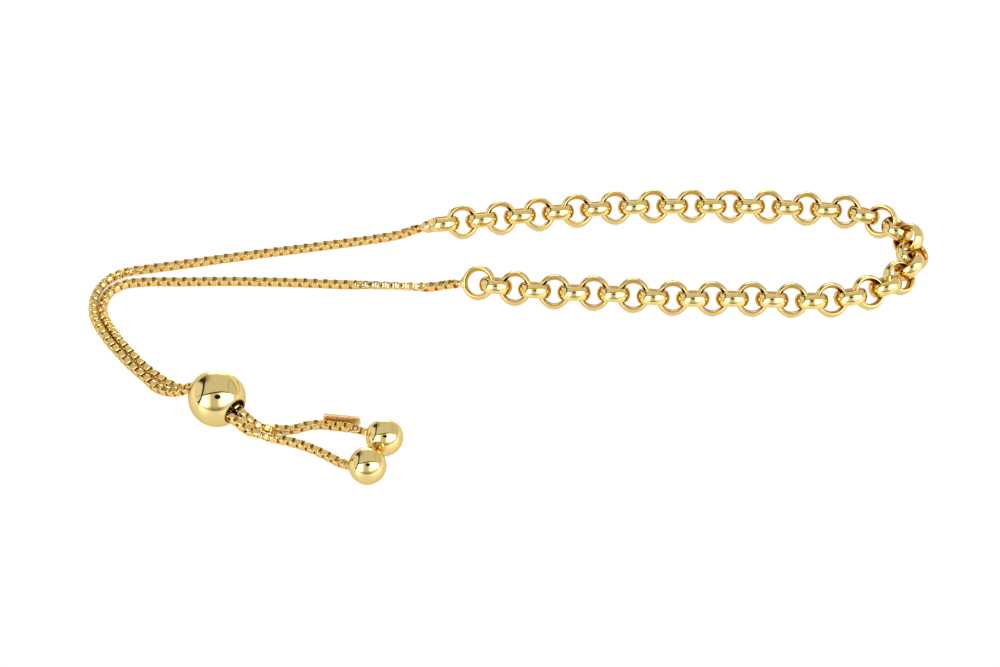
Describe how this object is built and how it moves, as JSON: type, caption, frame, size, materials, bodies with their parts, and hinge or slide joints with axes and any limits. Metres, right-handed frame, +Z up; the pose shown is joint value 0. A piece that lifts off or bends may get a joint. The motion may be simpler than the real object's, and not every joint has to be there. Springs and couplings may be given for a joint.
{
  "type": "adjustable chain bracelet",
  "caption": "Adjustable bracelet of round rolo links between two box chain strands that run through a sliding bead and end in balls.",
  "frame": {"origin": "centre of the bracelet's bounding box on the surface that it lies on", "axes": "+X along the closed bracelet towards the turn of the rolo chain, +Y away from the viewer, +Z up"},
  "size_m": [0.0911, 0.0402, 0.006],
  "materials": {
    "rolo_gold": "polished yellow gold",
    "box_gold": "polished yellow gold, fine box links",
    "bead_gold": "mirror polished yellow gold"
  },
  "bodies": {
    "root": {"rolo_chain": "rolo_gold", "box_chain_outer": "box_gold", "box_chain_inner": "box_gold", "slider_bead": "bead_gold", "end_ball_front": "bead_gold", "end_ball_back": "bead_gold", "tag": "bead_gold"}
  },
  "joints": []
}
